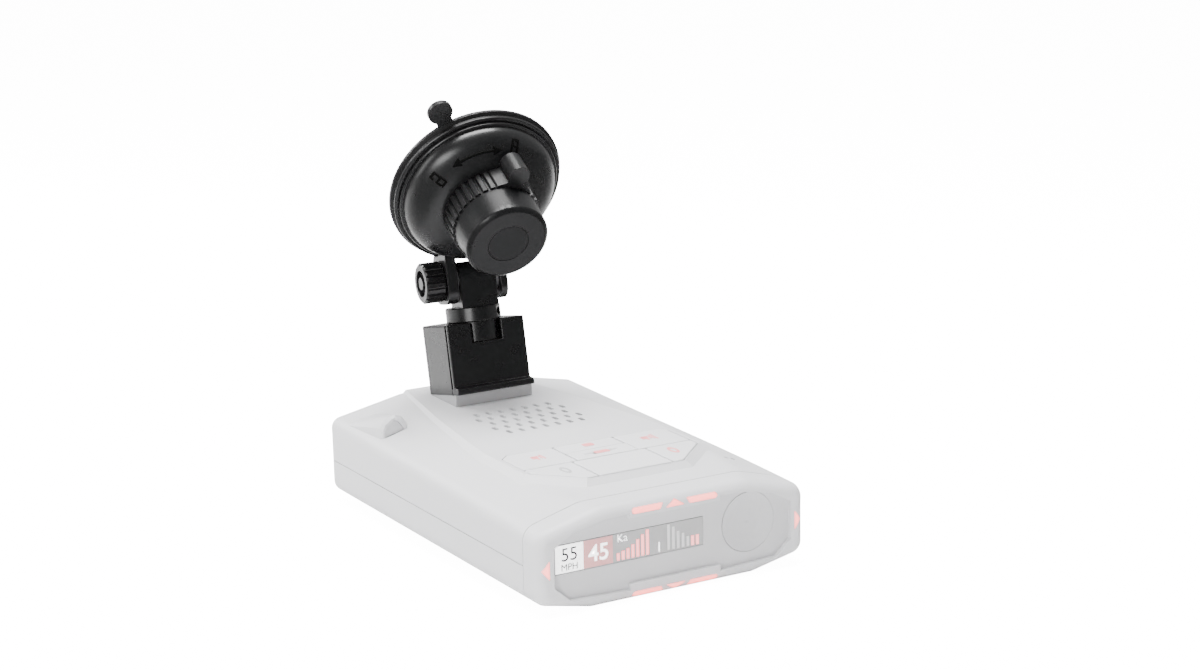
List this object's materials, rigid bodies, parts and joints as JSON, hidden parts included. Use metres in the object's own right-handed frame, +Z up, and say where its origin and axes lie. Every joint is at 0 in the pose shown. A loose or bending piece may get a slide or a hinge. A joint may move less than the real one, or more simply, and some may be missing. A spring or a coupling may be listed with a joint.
{
  "type": "radar detector",
  "caption": "Dashboard radar detector with a sloping display face, light bars and top keys, held by a magnetic dock, a swivelling hinged arm and a locking suction cup.",
  "frame": {"origin": "centre of the flat underside of the detector's case", "axes": "+Z up out of the case's top towards the mount, +Y from the display end to the end that faces the road ahead, +X to the right as seen by the driver looking at the display"},
  "size_m": [0.089, 0.136, 0.131],
  "materials": {
    "case_plastic": "satin",
    "panel_plastic": "satin",
    "light_guide": "satin",
    "key_plastic": "satin",
    "mount_plastic": "satin",
    "seat_plastic": "satin",
    "smoked_window": "gloss",
    "clear_lens": "gloss",
    "grey_rubber": "matte",
    "cup_rubber": "matte",
    "board_green": "satin",
    "steel": "brushed",
    "black_steel": "satin",
    "gold_contact": "polished",
    "horn_metal": "cast",
    "ceramic": "matte",
    "speaker_black": "satin"
  },
  "bodies": {
    "detector": {"upper_case": "case_plastic", "lower_case": "case_plastic", "case_screws": "steel", "front_bezel": "case_plastic", "top_light_guide": "light_guide", "bottom_light_guide": "light_guide", "left_light_guide": "light_guide", "right_light_guide": "light_guide", "face_panel": "panel_plastic", "display_window": "smoked_window", "antenna_lens": "clear_lens", "display_module": "panel_plastic", "display_board": "board_green", "keypad_mat": "grey_rubber", "key_board": "board_green", "speaker": "speaker_black", "main_board": "board_green", "board_screws": "steel", "gps_antenna": "ceramic", "front_antenna": "horn_metal", "rear_window": "smoked_window", "rear_antenna": "horn_metal", "laser_window": "clear_lens", "laser_sensor": "speaker_black", "sensor_lenses": "smoked_window", "dock_seat": "seat_plastic", "seat_magnets": "steel", "seat_contacts": "gold_contact"},
    "dock": {"dock_shell": "mount_plastic", "dock_plate": "mount_plastic", "dock_magnets": "steel", "contact_board": "board_green", "power_socket": "steel", "retaining_fork": "steel"},
    "swivel": {"swivel_drum": "mount_plastic", "swivel_collar": "mount_plastic", "set_screws": "black_steel", "hinge_knuckle": "mount_plastic", "friction_washers": "grey_rubber"},
    "cup": {"suction_pad": "cup_rubber", "cup_housing": "mount_plastic", "plunger_spring": "steel", "hinge_bolt": "steel"},
    "thumb_knob": {"thumb_knob": "mount_plastic", "knob_nut": "steel"},
    "lock_knob": {"lock_ring": "mount_plastic", "lock_barrel": "mount_plastic", "end_disc": "mount_plastic"},
    "plunger": {"plunger": "mount_plastic", "cam_pin": "steel"},
    "contact_pins": {"contact_pins": "gold_contact"},
    "left_key": {"left_key": "key_plastic"},
    "right_key": {"right_key": "key_plastic"},
    "upper_key": {"upper_key": "key_plastic"},
    "centre_key": {"centre_key": "key_plastic"},
    "mute_key": {"mute_key": "key_plastic"},
    "front_left_key": {"front_left_key": "key_plastic"},
    "front_right_key": {"front_right_key": "key_plastic"}
  },
  "joints": [
    {"name": "dock_pull", "type": "slide", "parent": "detector", "child": "dock", "axis": [0, 0.1908, 0.9816], "range_m": [0, 0.03]},
    {"name": "swivel_turn", "type": "hinge", "parent": "dock", "child": "swivel", "pos_m": [0, 0.05178, 0.05611], "axis": [0, 0.1908, 0.9816], "continuous": true},
    {"name": "cup_tilt", "type": "hinge", "parent": "swivel", "child": "cup", "pos_m": [-0.00038, 0.05153, 0.07043], "axis": [0.9919, -0.1247, 0.0242], "range_deg": [-40, 50]},
    {"name": "knob_turn", "type": "hinge", "parent": "cup", "child": "thumb_knob", "pos_m": [-0.01427, 0.05328, 0.07009], "axis": [-0.9919, 0.1247, -0.0242], "range_deg": [0, 360]},
    {"name": "lock_turn", "type": "hinge", "parent": "cup", "child": "lock_knob", "pos_m": [-0.00412, 0.02604, 0.09205], "axis": [-0.099, -0.8784, -0.4676], "range_deg": [0, 75]},
    {"name": "plunger_slide", "type": "slide", "parent": "cup", "child": "plunger", "axis": [0.099, 0.8784, 0.4676], "range_m": [0, 0.0015]},
    {"name": "pin_travel", "type": "slide", "parent": "dock", "child": "contact_pins", "axis": [0, 0.1908, 0.9816], "range_m": [0, 0.0006], "stiffness_N_per_m": 100},
    {"name": "left_press", "type": "slide", "parent": "detector", "child": "left_key", "axis": [0, 0.0129, -0.9999], "range_m": [0, 0.0004], "stiffness_N_per_m": 400},
    {"name": "right_press", "type": "slide", "parent": "detector", "child": "right_key", "axis": [0, 0.0129, -0.9999], "range_m": [0, 0.0004], "stiffness_N_per_m": 400},
    {"name": "upper_press", "type": "slide", "parent": "detector", "child": "upper_key", "axis": [0, 0.0129, -0.9999], "range_m": [0, 0.0004], "stiffness_N_per_m": 400},
    {"name": "centre_press", "type": "slide", "parent": "detector", "child": "centre_key", "axis": [0, 0.0129, -0.9999], "range_m": [0, 0.0004], "stiffness_N_per_m": 400},
    {"name": "mute_press", "type": "slide", "parent": "detector", "child": "mute_key", "axis": [0, 0.0129, -0.9999], "range_m": [0, 0.0004], "stiffness_N_per_m": 400},
    {"name": "front_left_press", "type": "slide", "parent": "detector", "child": "front_left_key", "axis": [0, 0.0129, -0.9999], "range_m": [0, 0.0004], "stiffness_N_per_m": 400},
    {"name": "front_right_press", "type": "slide", "parent": "detector", "child": "front_right_key", "axis": [0, 0.0129, -0.9999], "range_m": [0, 0.0004], "stiffness_N_per_m": 400}
  ],
  "couplings": [
    {"joint": "plunger_slide", "follows": "lock_turn", "m_per_rad": 0.0011459}
  ]
}
